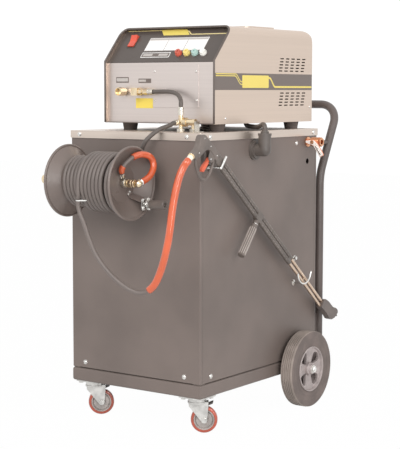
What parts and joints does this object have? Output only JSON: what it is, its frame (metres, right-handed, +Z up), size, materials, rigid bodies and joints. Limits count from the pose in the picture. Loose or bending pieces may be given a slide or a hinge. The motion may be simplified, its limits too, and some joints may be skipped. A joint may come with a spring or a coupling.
{
  "type": "pressure washer",
  "caption": "Commercial cold-water pressure washer: tank cabinet on castors and wheels, stainless pump head, front hose reel, side-hung gun with twin lance",
  "frame": {"origin": "centre of the bounding box on the floor, with the delivery hose and the supply hoses left out", "axes": "+X to the side that carries the gun, +Y to the rear towards the push handle, +Z up"},
  "size_m": [0.79, 1.3094, 1.515],
  "materials": {
    "cabinet_paint": "satin powder coat",
    "stainless_lid": "brushed",
    "stainless_hood": "brushed",
    "dark_paint": "satin",
    "handle_paint": "satin",
    "bright_screws": "plated",
    "tank_poly": "natural polyethylene",
    "float_plastic": "matte",
    "axle_steel": "zinc plated",
    "hub_plastic": "moulded",
    "tyre_rubber": "ribbed",
    "zinc": "zinc plated",
    "red_tread": "polyurethane tread",
    "pedal_paint": "satin",
    "rubber_feet": "matte",
    "motor_alloy": "cast",
    "pump_brass": "cast",
    "switch_red": "gloss",
    "cap_red": "gloss",
    "cap_yellow": "gloss",
    "cap_green": "gloss",
    "cap_white": "gloss",
    "brass": "machined",
    "black_hose": "matte",
    "ferrule_steel": "plated",
    "black_poly": "moulded",
    "chrome": "plated",
    "grey_hose": "smooth jacket",
    "orange_guard": "spiral sleeve",
    "knob_black": "moulded grip",
    "tie_white": "nylon",
    "connector_cream": "moulded",
    "trigger_orange": "moulded"
  },
  "bodies": {
    "root": {"base_tray": "cabinet_paint", "cabinet_frame": "cabinet_paint", "front_panel": "cabinet_paint", "left_panel": "cabinet_paint", "right_panel": "cabinet_paint", "rear_panel": "cabinet_paint", "lid": "stainless_lid", "panel_screws": "bright_screws", "water_tank": "tank_poly", "push_handle": "handle_paint", "rear_axle": "axle_steel", "caster_plates": "zinc", "head_chassis": "dark_paint", "head_hood": "stainless_hood", "head_front": "stainless_hood", "control_panel": "dark_paint", "head_feet": "rubber_feet", "motor": "motor_alloy", "pump": "pump_brass", "brass_fittings": "brass", "supply_hoses": "black_hose", "hose_ferrules": "ferrule_steel", "suction_elbow": "black_poly", "valve_body": "brass", "reel_bracket": "dark_paint", "delivery_hose": "grey_hose", "hose_guard": "orange_guard", "hose_connector": "connector_cream", "gun_body": "knob_black", "lance_tubes": "chrome", "lance_sleeves": "knob_black", "nozzle_holder": "knob_black", "lance_hooks": "chrome"},
    "caster_left": {"caster_fork_left": "zinc"},
    "caster_right": {"caster_fork_right": "zinc"},
    "wheel_front_left": {"caster_wheel_left": "red_tread"},
    "wheel_front_right": {"caster_wheel_right": "red_tread"},
    "pedal_left": {"caster_brake_left": "pedal_paint"},
    "pedal_right": {"caster_brake_right": "pedal_paint"},
    "wheel_left": {"rear_hub_left": "hub_plastic", "rear_tyre_left": "tyre_rubber"},
    "wheel_right": {"rear_hub_right": "hub_plastic", "rear_tyre_right": "tyre_rubber"},
    "drum": {"reel_drum": "dark_paint", "hose_winding": "grey_hose", "link_hose": "orange_guard", "reel_fittings": "chrome", "hose_tie": "tie_white"},
    "knob": {"crank_knob": "knob_black"},
    "pin": {"lock_pin": "chrome"},
    "gun_trigger": {"trigger": "trigger_orange"},
    "twist_handle": {"side_handle": "knob_black"},
    "switch": {"rocker_switch": "switch_red"},
    "red_nozzle": {"nozzle_red": "cap_red"},
    "yellow_nozzle": {"nozzle_yellow": "cap_yellow"},
    "green_nozzle": {"nozzle_green": "cap_green"},
    "white_nozzle": {"nozzle_white": "cap_white"},
    "ball_valve_lever": {"valve_lever": "chrome"},
    "swivel_nut": {"inlet_swivel": "brass"},
    "float": {"float_arm": "float_plastic"}
  },
  "joints": [
    {"name": "caster_swivel_left", "type": "hinge", "parent": "root", "child": "caster_left", "pos_m": [-0.248, -0.29469, 0.118], "axis": [0, 0, 1], "continuous": true},
    {"name": "caster_spin_left", "type": "hinge", "parent": "caster_left", "child": "wheel_front_left", "pos_m": [-0.22808, -0.27798, 0.05], "axis": [0.6428, -0.766, 0], "continuous": true},
    {"name": "brake_pedal_left", "type": "hinge", "parent": "caster_left", "child": "pedal_left", "pos_m": [-0.22042, -0.27155, 0.106], "axis": [-0.6428, 0.766, 0], "range_deg": [0, 12]},
    {"name": "rear_wheel_left", "type": "hinge", "parent": "root", "child": "wheel_left", "pos_m": [-0.35, 0.31531, 0.1525], "axis": [1, 0, 0], "continuous": true},
    {"name": "caster_swivel_right", "type": "hinge", "parent": "root", "child": "caster_right", "pos_m": [0.248, -0.29469, 0.118], "axis": [0, 0, 1], "continuous": true},
    {"name": "caster_spin_right", "type": "hinge", "parent": "caster_right", "child": "wheel_front_right", "pos_m": [0.26955, -0.28015, 0.05], "axis": [0.5592, -0.829, 0], "continuous": true},
    {"name": "brake_pedal_right", "type": "hinge", "parent": "caster_right", "child": "pedal_right", "pos_m": [0.27785, -0.27456, 0.106], "axis": [-0.5592, 0.829, 0], "range_deg": [0, 12]},
    {"name": "rear_wheel_right", "type": "hinge", "parent": "root", "child": "wheel_right", "pos_m": [0.35, 0.31531, 0.1525], "axis": [1, 0, 0], "continuous": true},
    {"name": "reel_turn", "type": "hinge", "parent": "root", "child": "drum", "pos_m": [0, -0.51969, 0.935], "axis": [1, 0, 0], "continuous": true},
    {"name": "crank_knob_spin", "type": "hinge", "parent": "drum", "child": "knob", "pos_m": [0.18, -0.44469, 0.857], "axis": [1, 0, 0], "continuous": true},
    {"name": "reel_lock", "type": "slide", "parent": "root", "child": "pin", "axis": [1, 0, 0], "range_m": [0, 0.012]},
    {"name": "trigger_pull", "type": "hinge", "parent": "root", "child": "gun_trigger", "pos_m": [0.345, -0.363, 1.02325], "axis": [-1, 0, 0], "range_deg": [0, 16], "stiffness_Nm_per_rad": 0.6, "springref_deg": -14.32},
    {"name": "handle_twist", "type": "hinge", "parent": "root", "child": "twist_handle", "pos_m": [0.345, -0.07149, 0.74993], "axis": [0, -0.6428, -0.766], "range_deg": [0, 270]},
    {"name": "power_rocker", "type": "hinge", "parent": "root", "child": "switch", "pos_m": [-0.187, -0.11409, 1.45281], "axis": [-1, 0, 0], "range_deg": [0, 18]},
    {"name": "nozzle_pull_red", "type": "slide", "parent": "root", "child": "red_nozzle", "axis": [0, -0.7465, 0.6654], "range_m": [0, 0.02]},
    {"name": "nozzle_pull_yellow", "type": "slide", "parent": "root", "child": "yellow_nozzle", "axis": [0, -0.7465, 0.6654], "range_m": [0, 0.02]},
    {"name": "nozzle_pull_green", "type": "slide", "parent": "root", "child": "green_nozzle", "axis": [0, -0.7465, 0.6654], "range_m": [0, 0.02]},
    {"name": "nozzle_pull_white", "type": "slide", "parent": "root", "child": "white_nozzle", "axis": [0, -0.7465, 0.6654], "range_m": [0, 0.02]},
    {"name": "valve_turn", "type": "hinge", "parent": "root", "child": "ball_valve_lever", "pos_m": [0.345, 0.35831, 1.062], "axis": [0, -1, 0], "range_deg": [0, 90]},
    {"name": "inlet_swivel_turn", "type": "hinge", "parent": "root", "child": "swivel_nut", "pos_m": [-0.172, -0.21669, 1.262], "axis": [0, -1, 0], "continuous": true},
    {"name": "float_swing", "type": "hinge", "parent": "root", "child": "float", "pos_m": [0.268, 0.38531, 1.05], "axis": [0, 1, 0], "range_deg": [0, 20]}
  ]
}
